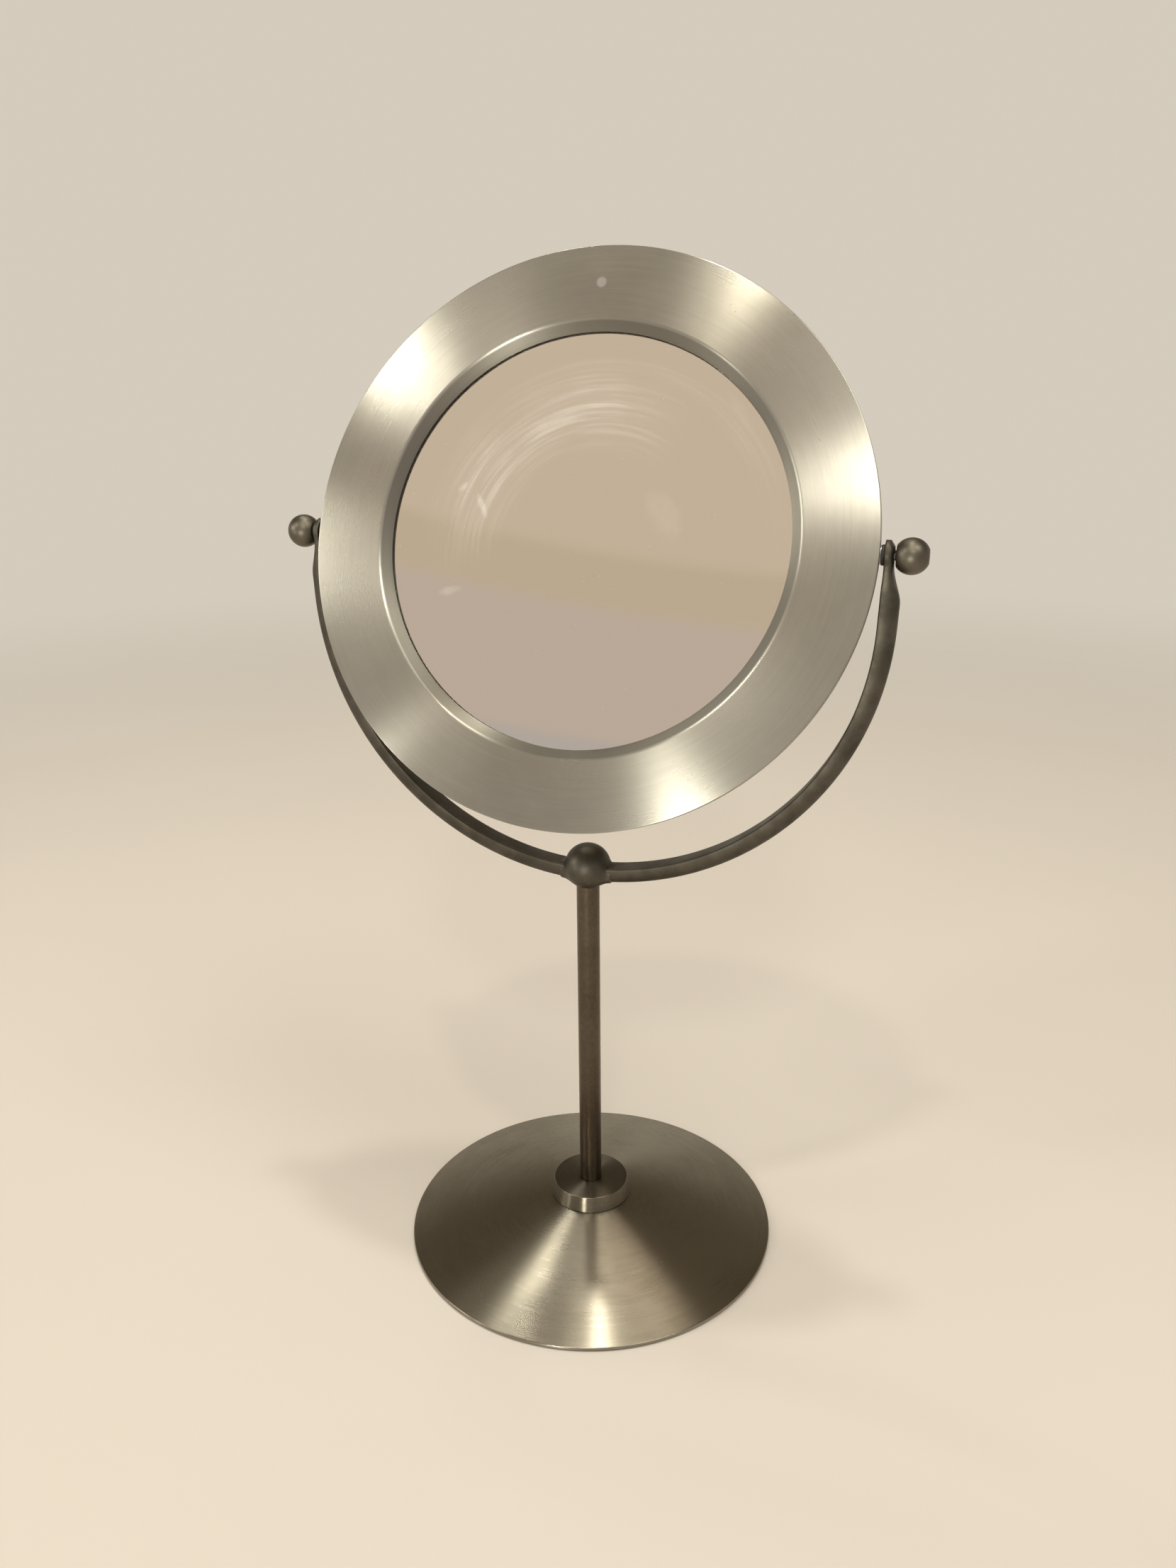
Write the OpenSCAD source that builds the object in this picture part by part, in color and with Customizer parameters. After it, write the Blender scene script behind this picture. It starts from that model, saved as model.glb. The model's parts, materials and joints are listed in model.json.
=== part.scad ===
// Extendable shaving mirror: a weighted cone base, a stem tube that slides and
// swivels on an inner rod, a U-shaped yoke and a two-sided mirror head.
// Millimetres, +Z up. Origin: centre of the underside. The mirror faces -Y.

/* [Base] */
// Radius of the base at its rim
base_r = 80; // [74:1:90]
// Height of the cone where the collar sits on it
cone_top_z = 16.9; // [15:0.1:20]
// Thickness of the spun sheet of the base
base_sheet = 1.2; // [0.8:0.1:1.6]
// Height of the thin upright edge of the rim
rim_edge_h = 1.3; // [0.8:0.1:2]
// How far the soft pad stands below the rim
pad_proud = 0.6; // [0.3:0.1:1]
// Radius of the collar at its foot
collar_foot_r = 17.75; // [16:0.25:20]
// Radius of the collar at its top
collar_top_r = 16.2; // [14:0.1:16.2]
// Height of the collar
collar_h = 6.6; // [5:0.1:9]

/* [Stem] */
// Outer radius of the stem tube
tube_r = 4.76; // [4.6:0.01:5.2]
// Bore radius of the stem tube
tube_bore_r = 3.75; // [3.7:0.01:3.85]
// Radius of the inner rod
rod_r = 3; // [2.8:0.05:3.05]
// Radial running clearance of everything that slides or turns
run_gap = 0.05; // [0.02:0.01:0.08]
// Length of the bush at the foot of the tube
bush_h = 12; // [8:1:14]
// Height of the centre of the hub ball
ball_z = 173.2; // [170:0.1:178]
// Radius of the hub ball
ball_r = 9.5; // [9:0.1:10.5]

/* [Yoke] */
// Height of the axis that the head tilts on
pivot_z = 305.5; // [303:0.5:310]
// Drop from the tilt axis to the centre of the yoke's bow
bow_drop = 21.1; // [20:0.1:22]
// Width of the half-round bar
bar_w = 8.75; // [8:0.25:9.5]
// Thickness of the half-round bar
bar_t = 6.8; // [6:0.1:7.2]
// Outward lean of the two arms, in degrees
arm_lean = 2; // [1.5:0.1:2.5]
// Thickness of the flattened ear at the end of each arm
ear_t = 3.2; // [2.6:0.1:3.4]
// Radius of the ear
ear_r = 5.3; // [4.6:0.1:6]

/* [Head] */
// Outer radius of the front ring
ring_r = 108.7; // [107.5:0.1:108.7]
// Distance from the tilt axis to the front face, and to the back face
face_z = 6.3; // [6:0.1:7]
// Thickness of the two rings
ring_sheet = 1; // [0.8:0.1:1.1]
// Inner radius of the lips that hold the glasses
lip_r = 77.8; // [75:0.1:78.2]
// Radius where each lip turns down from the face
bend_r = 81.6; // [81:0.1:83]
// Height of the front lip's edge from the tilt axis
front_lip_z = 2.9; // [2.7:0.1:3.2]
// Height of the rear lip's edge from the tilt axis
rear_lip_z = 4.2; // [4:0.1:4.4]
// Thickness of the flat front glass
glass_t = 1.8; // [1.6:0.1:1.8]
// Depth of the dish in the magnifying rear glass
dish_deep = 1.8; // [1:0.1:2]
// Backward tilt of the head at rest, in degrees
head_tilt = 20; // [0:1:40]

/* [Knobs] */
// Radius of the ball knobs
knob_r = 6.45; // [6:0.05:7]
// Distance of each knob's centre from the stem's axis
knob_x = 119.1; // [118.5:0.1:119.6]
// Radius of the pivot screws
screw_r = 2; // [1.8:0.1:2.2]

/* [Hidden] */
$fn = 96;

// Colours
satin_steel = [0.66, 0.65, 0.60];
pewter = [0.42, 0.40, 0.36];
stem_steel = [0.47, 0.43, 0.38];
zinc = [0.70, 0.70, 0.68];
black_rubber = [0.06, 0.06, 0.06];
nylon = [0.85, 0.84, 0.78];
pad_black = [0.08, 0.08, 0.08];
iron = [0.22, 0.22, 0.23];
glass_tint = [0.78, 0.84, 0.84];

// How far a cutter runs past what it cuts
over = 1;

// Base: the cone's outer surface runs straight from the rim to the collar
rim_top_z = pad_proud + rim_edge_h;
cone_slope = (cone_top_z - rim_top_z) / (base_r - collar_foot_r);
sheet_drop = base_sheet * sqrt(1 + cone_slope * cone_slope);
sheet_corner = 0.1;
pad_inset = 6;
pad_r = base_r - pad_inset;
pad_h = 1.6;
weight_inset = 10;
weight_r = base_r - weight_inset;
weight_gap = 0.3;
weight_step = 2;
boss_r = 14;
pocket_r = 11;
pocket_top_z = 8.5;
washer_r = 9;
washer_h = 1.2;
nut_flats = 10;
nut_h = 4.8;
rod_foot_z = 2.2;
collar_top_z = cone_top_z + collar_h;
collar_edge_w = 0.2;
collar_edge_h = 0.3;

// Stem: the tube rests just above the collar when the stem is closed
foot_gap = 0.1;
tube_foot_z = collar_top_z + foot_gap;
tube_lip_h = 1;
axial_gap = 0.05;
bush_z = tube_foot_z + tube_lip_h + axial_gap;
retainer_z = bush_z + bush_h + axial_gap;
retainer_h = 2.5;
sleeve_top_z = 154;
sleeve_h = 12;
neck_r = 2;
sleeve_screw_r = 1.25;
sleeve_screw_head_r = 2.9;
sleeve_screw_head_h = 2.4;
sleeve_screw_l = 8;
plug_foot_z = 157.5;
stud_r = 2.5;
stud_cover = 1;

// Yoke: the bow is centred below the pivot, and its arms lean out to the ears
block_proud = 0.1;
block_out_x = ring_r + block_proud;
washer_t = 1.2;
ear_in_x = block_out_x + washer_t + 2 * axial_gap;
ear_out_x = ear_in_x + ear_t;
bow_r = ear_in_x * cos(arm_lean) - bow_drop * sin(arm_lean);
bow_z = pivot_z - bow_drop;
bar_top_z = bow_z - bow_r;
bar_foot_z = bar_top_z - bar_t;
arm_foot_z = bow_z - bow_r * sin(arm_lean);
arm_l = (pivot_z - arm_foot_z) / cos(arm_lean) + ear_r;
ear_run = 3.5;
step_w = 1.6;
step_h = 2.7;
taper_w = 2.9;
taper_z = 14;
arm_spare = 2;
bore_reach = 9;

// Head: radii and heights are measured along its own axis, from the tilt axis
edge_round = 0.35;
seam_h = 0.4;
seam_deep = 0.6;
shell_inset = 0.1;
shell_r = ring_r - shell_inset;
band_foot = 1.8;
band_step = 0.6;
shoulder_r = face_z + band_foot;
shoulder_c = shell_r - band_step - shoulder_r;
shoulder_steps = 16;
bend_out = 0.7;
bend_in = 0.3;
bend_back = 1.2;
lip_slope_w = 0.4;
lip_slope_h = 0.6;
lip_nose_w = 0.1;
lip_nose_h = 0.2;
lip_land = 1.2;
gasket_t = 0.9;
gasket_inset = 0.5;
gasket_w = 1.4;
gasket_in_r = lip_r + gasket_inset;
gasket_out_r = gasket_in_r + gasket_w;
glass_r = 80;
front_glass_z = front_lip_z - gasket_t;
rear_gasket_t = 0.6;
rear_glass_z = rear_lip_z - rear_gasket_t;
backing_t = 0.6;
backing_inset = 1;
backing_z = front_glass_z - glass_t;
dish_steps = 12;
spacer_gap = 0.2;
spacer_w = 2.2;
block_r = 3.4;
block_in_x = 86;
block_cut = 5;
saddle_w = 12;
saddle_l = 11;
washer_out_r = 3.65;

// Knobs: ball ends flattened a little at both poles
knob_gap = 0.7;
knob_flat = 0.55;
knob_in_x = ear_out_x + knob_gap;
knob_out_x = knob_x + knob_r - knob_flat;
screw_in_x = 97;
screw_spare = 2;
screw_past = 2.3;
screw_end_x = knob_x + screw_past;

// A solid turned from a half outline of [radius, height] points
module turned(points) {
    rotate_extrude() polygon(points);
}

// A plain ring or disc between two heights
module ring(r_out, r_in, z_low, z_high) {
    translate([0, 0, z_low])
        difference() {
            cylinder(r = r_out, h = z_high - z_low);
            if (r_in > 0)
                translate([0, 0, -over]) cylinder(r = r_in, h = z_high - z_low + 2 * over);
        }
}

// A round bar along X at the height of the tilt axis, on the side given by sign
module side_rod(sign, r, x_low, x_high) {
    translate([sign > 0 ? x_low : -x_high, 0, pivot_z])
        rotate([0, 90, 0]) cylinder(r = r, h = x_high - x_low);
}

// Puts a solid drawn on the head's own axis into its tilted place
module in_head() {
    translate([0, 0, pivot_z]) rotate([90 - head_tilt, 0, 0]) children();
}

function cone_z(r) = cone_top_z - (r - collar_foot_r) * cone_slope;

module base_pad() {
    color(pad_black) ring(pad_r, 0, 0, pad_h);
}

module base_shell() {
    hub_low_z = cone_top_z - base_sheet;
    color(satin_steel)
        turned([
            [base_r, pad_proud], [base_r, rim_top_z],
            [collar_foot_r, cone_top_z], [rod_r, cone_top_z], [rod_r, hub_low_z],
            [collar_foot_r - sheet_corner, hub_low_z],
            [base_r - base_sheet, cone_z(base_r - base_sheet) - sheet_drop],
            [base_r - base_sheet, pad_proud]
        ]);
}

// The weight's middle boss meets the shell, and its pocket holds the nut
module ballast_weight() {
    top_gap = sheet_drop + weight_gap;
    flat_r = collar_foot_r + weight_step;
    flat_z = cone_z(flat_r) - top_gap;
    color(iron)
        difference() {
            turned([
                [0, pad_h], [weight_r, pad_h], [weight_r, cone_z(weight_r) - top_gap],
                [flat_r, flat_z], [boss_r, flat_z], [boss_r, cone_top_z - base_sheet],
                [0, cone_top_z - base_sheet]
            ]);
            cylinder(r = rod_r, h = cone_top_z);
            cylinder(r = pocket_r, h = pocket_top_z);
        }
}

module base_collar() {
    color(satin_steel)
        turned([
            [rod_r, cone_top_z], [collar_foot_r, cone_top_z],
            [collar_top_r + collar_edge_w, collar_top_z - collar_edge_h],
            [collar_top_r - collar_edge_w, collar_top_z],
            [rod_r, collar_top_z]
        ]);
}

module guide_rod() {
    color(zinc)
        difference() {
            union() {
                translate([0, 0, rod_foot_z])
                    cylinder(r = rod_r, h = sleeve_top_z - sleeve_h - rod_foot_z);
                translate([0, 0, rod_foot_z]) cylinder(r = neck_r, h = sleeve_top_z - rod_foot_z);
            }
            translate([0, 0, sleeve_top_z - sleeve_screw_l])
                cylinder(r = sleeve_screw_r, h = sleeve_screw_l + over);
        }
}

module rod_washer() {
    color(zinc) ring(washer_r, rod_r, pocket_top_z - washer_h, pocket_top_z);
}

module rod_nut() {
    nut_top_z = pocket_top_z - washer_h;
    color(zinc)
        difference() {
            translate([0, 0, nut_top_z - nut_h])
                cylinder(r = nut_flats / 2 / cos(30), h = nut_h, $fn = 6);
            cylinder(r = rod_r, h = pocket_top_z);
        }
}

module friction_sleeve() {
    color(nylon) ring(tube_bore_r - run_gap, neck_r, sleeve_top_z - sleeve_h, sleeve_top_z);
}

module sleeve_screw() {
    color(zinc)
        union() {
            translate([0, 0, sleeve_top_z]) cylinder(r = sleeve_screw_head_r, h = sleeve_screw_head_h);
            translate([0, 0, sleeve_top_z - sleeve_screw_l])
                cylinder(r = sleeve_screw_r, h = sleeve_screw_l + over);
        }
}

module glide_bush() {
    color(nylon) ring(tube_bore_r - run_gap, rod_r + run_gap, bush_z, bush_z + bush_h);
}

module stem_tube() {
    color(stem_steel)
        difference() {
            translate([0, 0, tube_foot_z]) cylinder(r = tube_r, h = bar_foot_z - tube_foot_z);
            translate([0, 0, tube_foot_z + tube_lip_h]) cylinder(r = tube_bore_r, h = bar_foot_z);
            translate([0, 0, tube_foot_z - over])
                cylinder(r = rod_r + 2 * run_gap, h = tube_lip_h + 2 * over);
        }
}

module bush_retainer() {
    color(zinc) ring(tube_bore_r, rod_r + 3 * run_gap, retainer_z, retainer_z + retainer_h);
}

module tube_plug() {
    color(zinc) ring(tube_bore_r, stud_r, plug_foot_z, bar_foot_z);
}

module hub_stud() {
    color(zinc) ring(stud_r, 0, plug_foot_z, bar_top_z - stud_cover);
}

// Cross-section of the bar, with its flat inner face on the line x = 0
module bar_section() {
    side = bar_t - bar_w / 2;
    translate([0, -bar_w / 2]) square([side, bar_w]);
    intersection() {
        translate([side, 0]) circle(d = bar_w);
        translate([side, -bar_w]) square([bar_w, 2 * bar_w]);
    }
}

module bow() {
    translate([0, 0, bow_z])
        rotate([-90, 0, 0])
            rotate([0, 0, arm_lean])
                rotate_extrude(angle = 180 - 2 * arm_lean)
                    translate([bow_r, 0]) bar_section();
}

// One arm, seen from the side as a leaning bar that is thinned to a flat ear
module arm() {
    union() {
        intersection() {
            translate([bow_r * cos(arm_lean), 0, arm_foot_z])
                rotate([0, arm_lean, 0])
                    linear_extrude(height = arm_l) bar_section();
            translate([0, bar_w, pivot_z])
                rotate([90, 0, 0])
                    linear_extrude(height = 2 * bar_w)
                        polygon([
                            [bow_r - bar_t, arm_foot_z - pivot_z - arm_spare],
                            [bow_r - bar_t, -ear_r - arm_spare], [ear_in_x, -ear_r],
                            [ear_in_x, ear_r / 2], [ear_out_x, ear_r / 2], [ear_out_x, -ear_run],
                            [ear_out_x + step_w, -ear_run - step_h], [ear_out_x + taper_w, -taper_z],
                            [ear_out_x + bar_t, arm_foot_z - pivot_z - arm_spare]
                        ]);
        }
        side_rod(1, ear_r, ear_in_x, ear_out_x);
    }
}

module yoke_bar() {
    color(pewter)
        difference() {
            union() {
                bow();
                arm();
                mirror([1, 0, 0]) arm();
            }
            side_rod(1, screw_r + run_gap, ear_in_x - bore_reach, ear_out_x + bore_reach);
            side_rod(-1, screw_r + run_gap, ear_in_x - bore_reach, ear_out_x + bore_reach);
            translate([0, 0, bar_foot_z - stud_cover]) cylinder(r = stud_r, h = bar_t);
        }
}

module hub_ball() {
    color(pewter)
        difference() {
            translate([0, 0, ball_z]) sphere(r = ball_r);
            bow();
            translate([0, 0, ball_z - 2 * ball_r])
                cylinder(r = tube_r, h = bar_foot_z - ball_z + 2 * ball_r);
            translate([0, 0, bar_foot_z - stud_cover]) cylinder(r = stud_r, h = bar_t);
        }
}

module pivot_washer(sign) {
    color(black_rubber)
        difference() {
            side_rod(sign, washer_out_r, ear_in_x - axial_gap - washer_t, ear_in_x - axial_gap);
            side_rod(sign, screw_r + 2 * run_gap, ear_in_x - bore_reach, ear_in_x + bore_reach);
        }
}

module left_washer() {
    pivot_washer(-1);
}

module right_washer() {
    pivot_washer(1);
}

// Half outline of a lip: down from the face to its edge at height z, and back up inside
function lip_outline(z) = [
    [bend_r + bend_out, face_z], [bend_r - bend_in, face_z - edge_round],
    [lip_r + lip_slope_w, z + lip_slope_h], [lip_r, z + lip_nose_h], [lip_r + lip_nose_w, z],
    [lip_r + lip_land, z], [bend_r + bend_back, face_z - ring_sheet]
];

module front_ring() {
    color(satin_steel)
        in_head()
            turned(concat(lip_outline(front_lip_z), [
                [ring_r, face_z - ring_sheet], [ring_r, face_z - edge_round],
                [ring_r - edge_round, face_z]
            ]));
}

// Shoulder arc of the back shell at a distance r from its centre, angle a
function shoulder(r, a) = [shoulder_c + r * cos(a), r * sin(a) - band_foot];

module back_shell() {
    seam_z = ring_sheet - face_z;
    inner_r = shoulder_r - ring_sheet;
    steps = shoulder_steps;
    color(satin_steel)
        difference() {
            in_head()
                mirror([0, 0, 1])
                    turned(concat(
                        lip_outline(rear_lip_z),
                        [for (i = [steps:-1:0]) shoulder(inner_r, 90 * i / steps)],
                        [
                            [shoulder_c + inner_r, seam_z], [shell_r - seam_deep, seam_z],
                            [shell_r - seam_deep, seam_z + seam_h], [shell_r, seam_z + seam_h],
                            [shell_r, -band_foot]
                        ],
                        [for (i = [0:steps]) shoulder(shoulder_r, 90 * i / steps)]
                    ));
            side_rod(1, block_r, block_in_x, block_out_x + block_cut);
            side_rod(-1, block_r, block_in_x, block_out_x + block_cut);
        }
}

module front_glass() {
    color(glass_tint) in_head() ring(glass_r, 0, backing_z, front_glass_z);
}

// The rear glass is hollowed to a shallow magnifying dish
module rear_glass() {
    flat_z = backing_t - backing_z;
    dish = [for (i = [0:dish_steps])
        let (r = lip_r * i / dish_steps)
        [r, rear_glass_z - dish_deep * (1 - pow(r / lip_r, 2))]];
    color(glass_tint)
        in_head()
            mirror([0, 0, 1])
                turned(concat([[0, flat_z]], dish, [[glass_r, rear_glass_z], [glass_r, flat_z]]));
}

module front_gasket() {
    color(black_rubber) in_head() ring(gasket_out_r, gasket_in_r, front_glass_z, front_lip_z);
}

module rear_gasket() {
    color(black_rubber) in_head() ring(gasket_out_r, gasket_in_r, -rear_lip_z, -rear_glass_z);
}

module backing_disc() {
    color(black_rubber) in_head() ring(glass_r - backing_inset, 0, backing_z - backing_t, backing_z);
}

module glass_spacer() {
    in_r = glass_r + spacer_gap;
    color(black_rubber) in_head() ring(in_r + spacer_w, in_r, -rear_lip_z, front_lip_z);
}

// Threaded block inside the head that one pivot screw turns in
module pivot_block(sign) {
    room = face_z - ring_sheet;
    color(zinc)
        difference() {
            union() {
                side_rod(sign, block_r, block_in_x, block_out_x);
                in_head()
                    translate([sign * (block_in_x + saddle_l / 2), 0, 0])
                        cube([saddle_l, saddle_w, 2 * room], center = true);
            }
            side_rod(sign, screw_r + run_gap, screw_in_x - screw_spare, block_out_x + over);
        }
}

module left_pivot_block() {
    pivot_block(-1);
}

module right_pivot_block() {
    pivot_block(1);
}

module knob(sign) {
    color(pewter)
        difference() {
            intersection() {
                translate([sign * knob_x, 0, pivot_z]) sphere(r = knob_r);
                side_rod(sign, 2 * knob_r, knob_in_x, knob_out_x);
            }
            side_rod(sign, screw_r, knob_in_x - over, screw_end_x);
        }
}

module left_knob() {
    knob(-1);
}

module right_knob() {
    knob(1);
}

module left_pivot_screw() {
    color(zinc) side_rod(-1, screw_r, screw_in_x, screw_end_x);
}

module right_pivot_screw() {
    color(zinc) side_rod(1, screw_r, screw_in_x, screw_end_x);
}

base_pad();
base_shell();
ballast_weight();
base_collar();
guide_rod();
rod_washer();
rod_nut();
friction_sleeve();
sleeve_screw();
glide_bush();
stem_tube();
bush_retainer();
tube_plug();
hub_stud();
hub_ball();
yoke_bar();
left_washer();
right_washer();
front_ring();
back_shell();
front_glass();
rear_glass();
front_gasket();
rear_gasket();
backing_disc();
glass_spacer();
left_pivot_block();
right_pivot_block();
left_knob();
left_pivot_screw();
right_knob();
right_pivot_screw();
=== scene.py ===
"""Looks of the extendable shaving mirror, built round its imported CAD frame. Units are metres."""

import json
import math

import bmesh
import bpy
from mathutils import Matrix, Vector


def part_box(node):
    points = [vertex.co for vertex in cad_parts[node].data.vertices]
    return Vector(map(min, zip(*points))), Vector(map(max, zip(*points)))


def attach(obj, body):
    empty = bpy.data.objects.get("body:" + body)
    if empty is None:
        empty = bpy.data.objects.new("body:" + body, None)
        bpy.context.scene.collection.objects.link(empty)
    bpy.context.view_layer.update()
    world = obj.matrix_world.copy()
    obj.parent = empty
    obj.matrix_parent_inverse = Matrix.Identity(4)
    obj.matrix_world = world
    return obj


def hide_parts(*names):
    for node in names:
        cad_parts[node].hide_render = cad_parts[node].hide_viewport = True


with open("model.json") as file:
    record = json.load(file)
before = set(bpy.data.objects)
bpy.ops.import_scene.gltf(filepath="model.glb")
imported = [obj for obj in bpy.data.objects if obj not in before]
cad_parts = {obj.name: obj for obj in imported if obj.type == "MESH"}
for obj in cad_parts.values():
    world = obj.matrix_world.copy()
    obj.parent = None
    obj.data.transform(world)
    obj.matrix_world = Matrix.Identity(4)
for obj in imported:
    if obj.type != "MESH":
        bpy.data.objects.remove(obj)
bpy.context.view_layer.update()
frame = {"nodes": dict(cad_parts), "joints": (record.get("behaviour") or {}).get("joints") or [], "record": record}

MM = 0.001
X_AXIS, Y_AXIS, Z_AXIS = Vector((1, 0, 0)), Vector((0, 1, 0)), Vector((0, 0, 1))

# ---------------------------------------------------------------- places, read from the frame
JOINTS = {joint["name"]: joint for joint in frame["joints"]}
PIVOT = Vector(JOINTS["head_tilt"]["pos_m"])
HEAD_TILT = math.radians(20)
HEAD = Matrix.Translation(PIVOT) @ Matrix.Rotation(math.pi / 2 - HEAD_TILT, 4, "X")

base_low, base_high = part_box("base_shell")
collar_low, collar_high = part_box("base_collar")
tube_low, tube_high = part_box("stem_tube")
ring_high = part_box("front_ring")[1]
shell_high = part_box("back_shell")[1]
glass_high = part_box("front_glass")[1]
yoke_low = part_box("yoke_bar")[0]
ball_low, ball_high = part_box("hub_ball")
knob_low, knob_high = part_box("right_knob")
screw_low, screw_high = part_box("right_pivot_screw")
washer_low, washer_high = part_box("right_washer")


# ---------------------------------------------------------------- mesh helpers
def new_object(name, bm, material, matrix=Matrix.Identity(4), sharp=math.radians(28)):
    """Turns a bmesh into a smooth-shaded object whose edges stay crisp past the sharp angle."""
    bmesh.ops.recalc_face_normals(bm, faces=bm.faces)
    for face in bm.faces:
        face.smooth = True
    for edge in bm.edges:
        edge.smooth = len(edge.link_faces) == 2 and edge.calc_face_angle(0) < sharp
    mesh = bpy.data.meshes.new(name)
    bm.to_mesh(mesh)
    bm.free()
    mesh.materials.append(material)
    obj = bpy.data.objects.new(name, mesh)
    bpy.context.scene.collection.objects.link(obj)
    obj.matrix_world = matrix
    return obj


def rounded(points, steps=5):
    """An outline of (r, z, corner radius) points with its corners turned into arcs."""
    outline = []
    count = len(points)
    for i, (r, z, radius) in enumerate(points):
        here = Vector((r, z))
        before = Vector(points[i - 1][:2]) - here
        after = Vector(points[(i + 1) % count][:2]) - here
        if radius <= 0 or before.length < 1e-9 or after.length < 1e-9:
            outline.append(here)
            continue
        half = before.angle(after) / 2
        back = min(radius / math.tan(half), 0.49 * before.length, 0.49 * after.length)
        start = here + before.normalized() * back
        end = here + after.normalized() * back
        for k in range(steps + 1):
            t = k / steps
            outline.append(start * (1 - t) ** 2 + here * 2 * t * (1 - t) + end * t ** 2)
    return outline


def lathe(name, outline, material, matrix=Matrix.Identity(4), segments=192):
    """A closed outline of (r, z) points turned round the local Z axis."""
    bm = bmesh.new()
    columns = []
    for j in range(segments):
        angle = 2 * math.pi * j / segments
        c, s = math.cos(angle), math.sin(angle)
        columns.append([bm.verts.new((p[0] * c, p[0] * s, p[1])) for p in outline])
    count = len(outline)
    for j in range(segments):
        a, b = columns[j], columns[(j + 1) % segments]
        for i in range(count):
            k = (i + 1) % count
            bm.faces.new((a[i], b[i], b[k], a[k]))
    bmesh.ops.remove_doubles(bm, verts=bm.verts, dist=1e-7)
    bmesh.ops.dissolve_degenerate(bm, edges=bm.edges, dist=1e-8)
    return new_object(name, bm, material, matrix)


def along_x(sign, x):
    """A frame on the tilt axis whose local Z points outward on the side given by sign."""
    turn = Matrix.Rotation(sign * math.pi / 2, 4, "Y")
    return Matrix.Translation(Vector((sign * x, PIVOT.y, PIVOT.z))) @ turn


# ---------------------------------------------------------------- materials
class Graph:
    """A material's node tree with short ways to add and join nodes."""

    def __init__(self, name):
        self.material = bpy.data.materials.new(name)
        self.material.use_nodes = True
        self.tree = self.material.node_tree
        self.shader = self.tree.nodes["Principled BSDF"]

    def node(self, kind, *inputs, **settings):
        made = self.tree.nodes.new("ShaderNode" + kind)
        for key, value in settings.items():
            setattr(made, key, value)
        for socket, value in zip(made.inputs, inputs):
            self.put(socket, value)
        return made

    def put(self, socket, value):
        if isinstance(value, bpy.types.NodeSocket):
            self.tree.links.new(value, socket)
        elif value is not None:
            socket.default_value = value

    def math(self, operation, a, b=0.0, clamp=False):
        return self.node("Math", a, b, operation=operation, use_clamp=clamp).outputs[0]

    def vector(self, operation, a, b=None):
        """A vector sum that gives a vector."""
        return self.node("VectorMath", a, b, operation=operation).outputs[0]

    def measure(self, operation, a, b=None):
        """A length, distance or dot product: a vector sum that gives a number."""
        return self.node("VectorMath", a, b, operation=operation).outputs[1]

    def spans(self, value, low, high, to_low=0.0, to_high=1.0):
        """Goes softly from to_low to to_high as the value goes from low to high."""
        return self.node("MapRange", value, low, high, to_low, to_high,
                         interpolation_type="SMOOTHSTEP").outputs[0]

    def noise(self, vector, scale, detail=3.0, roughness=0.5):
        made = self.node("TexNoise")
        self.put(made.inputs["Vector"], vector)
        self.put(made.inputs["Scale"], scale)
        self.put(made.inputs["Detail"], detail)
        self.put(made.inputs["Roughness"], roughness)
        return made.outputs["Fac"]

    def blend(self, factor, a, b, kind="MIX"):
        made = self.node("Mix", data_type="RGBA", blend_type=kind)
        self.put(made.inputs[0], factor)
        self.put(made.inputs[6], a)
        self.put(made.inputs[7], b)
        return made.outputs[2]

    def place(self):
        return self.node("TexCoord").outputs["Object"]

    def polar(self, place):
        """The radius, the outward way and the height of a place about the local Z axis."""
        x, y, z = self.node("SeparateXYZ", place).outputs
        flat = self.node("CombineXYZ", x, y, 0.0).outputs[0]
        return self.measure("LENGTH", flat), self.vector("NORMALIZE", flat), z

    def round_axis(self, along, across):
        """Coordinates that run slowly round the Z axis and fast outward and along it."""
        radius, way, height = self.polar(self.place())
        slow = self.vector("MULTIPLY", way, (along, along, 0))
        fast = self.math("MULTIPLY", self.math("ADD", radius, height), across)
        return self.vector("ADD", slow, self.node("CombineXYZ", 0.0, 0.0, fast).outputs[0])

    def bump(self, height, distance, strength=1.0):
        made = self.node("Bump")
        self.put(made.inputs["Strength"], strength)
        self.put(made.inputs["Distance"], distance)
        self.put(made.inputs["Height"], height)
        return made.outputs["Normal"]

    def set(self, **values):
        """Sets or joins the shader's sockets and gives back the material."""
        for name, value in values.items():
            self.put(self.shader.inputs[name.replace("_", " ")], value)
        return self.material


def grey(value, warmth=0.0):
    return (value * (1 + warmth), value, value * (1 - warmth), 1)


# Colour of the painted shade laid over the ring's rolled lip.
LIP_SHADE = (0.21, 0.195, 0.165, 1)
QUARTER_TURN = 0.25  # turns the highlight from round the axis to outward from it


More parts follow.
